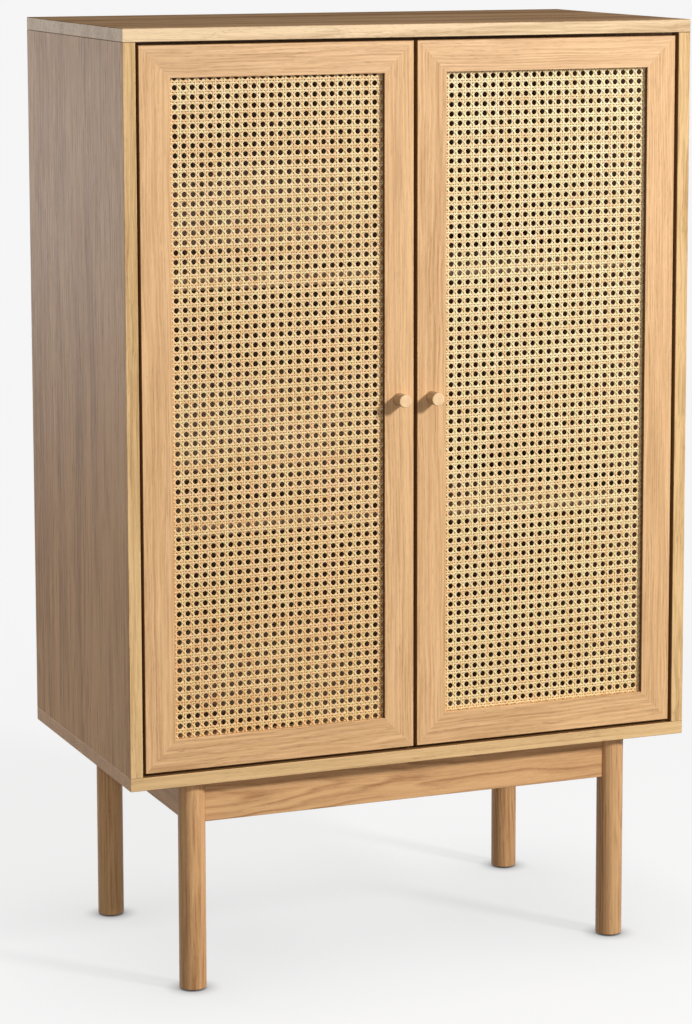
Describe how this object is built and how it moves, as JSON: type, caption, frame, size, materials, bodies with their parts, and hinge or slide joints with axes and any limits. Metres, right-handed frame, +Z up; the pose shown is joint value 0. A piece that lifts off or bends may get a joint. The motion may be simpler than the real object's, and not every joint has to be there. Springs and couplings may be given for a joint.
{
  "type": "record cabinet",
  "caption": "Tall oak record cabinet on round legs, with hinged mitred doors filled with woven cane, shelved inside for records.",
  "frame": {"origin": "on the floor, under the middle of the cabinet's outline with its knobs", "axes": "+X to the right as seen from the front, +Y to the back, +Z up"},
  "size_m": [0.84, 0.462, 1.33],
  "materials": {
    "carcass_oak": "matt lacquered oak veneer",
    "door_oak": "matt lacquered solid oak",
    "base_oak": "matt lacquered solid oak",
    "knob_oak": "matt lacquered turned oak",
    "back_board": "veneered hardboard",
    "beech": "plain",
    "cane": "natural cane, satin",
    "hinge_steel": "nickel plated",
    "zinc_steel": "zinc plated",
    "black_plastic": "moulded"
  },
  "bodies": {
    "carcass": {"back_panel": "back_board", "back_panel_screws": "zinc_steel", "base_bracket_screws": "zinc_steel", "base_brackets": "zinc_steel", "bottom_panel": "carcass_oak", "cam_bolts": "zinc_steel", "cam_locks": "zinc_steel", "carcass_dowels": "beech", "catch_magnets": "black_plastic", "front_apron": "base_oak", "front_left_leg": "base_oak", "front_right_leg": "base_oak", "hinge_arms": "hinge_steel", "hinge_clamp_screws": "hinge_steel", "hinge_plate_screws": "hinge_steel", "hinge_plates": "hinge_steel", "left_apron": "base_oak", "left_side_panel": "carcass_oak", "leg_glides": "black_plastic", "lower_shelf": "carcass_oak", "rear_apron": "base_oak", "rear_left_leg": "base_oak", "rear_right_leg": "base_oak", "right_apron": "base_oak", "right_side_panel": "carcass_oak", "shelf_pegs": "zinc_steel", "top_panel": "carcass_oak", "upper_shelf": "carcass_oak"},
    "left_door": {"left_bottom_rail": "door_oak", "left_cane_beads": "door_oak", "left_cane_panel": "cane", "left_cup_screws": "hinge_steel", "left_hinge_cups": "hinge_steel", "left_hinge_pins": "hinge_steel", "left_hinge_stile": "door_oak", "left_knob": "knob_oak", "left_knob_screw": "hinge_steel", "left_meeting_stile": "door_oak", "left_mitre_keys": "beech", "left_striker_plate": "zinc_steel", "left_striker_screws": "zinc_steel", "left_top_rail": "door_oak"},
    "right_door": {"right_bottom_rail": "door_oak", "right_cane_beads": "door_oak", "right_cane_panel": "cane", "right_cup_screws": "hinge_steel", "right_hinge_cups": "hinge_steel", "right_hinge_pins": "hinge_steel", "right_hinge_stile": "door_oak", "right_knob": "knob_oak", "right_knob_screw": "hinge_steel", "right_meeting_stile": "door_oak", "right_mitre_keys": "beech", "right_striker_plate": "zinc_steel", "right_striker_screws": "zinc_steel", "right_top_rail": "door_oak"}
  },
  "joints": [
    {"name": "left_door_hinge", "type": "hinge", "parent": "carcass", "child": "left_door", "pos_m": [-0.3815, -0.196, 0.814], "axis": [0, 0, -1], "range_deg": [0, 95]},
    {"name": "right_door_hinge", "type": "hinge", "parent": "carcass", "child": "right_door", "pos_m": [0.3815, -0.196, 0.814], "axis": [0, 0, 1], "range_deg": [0, 95]}
  ]
}
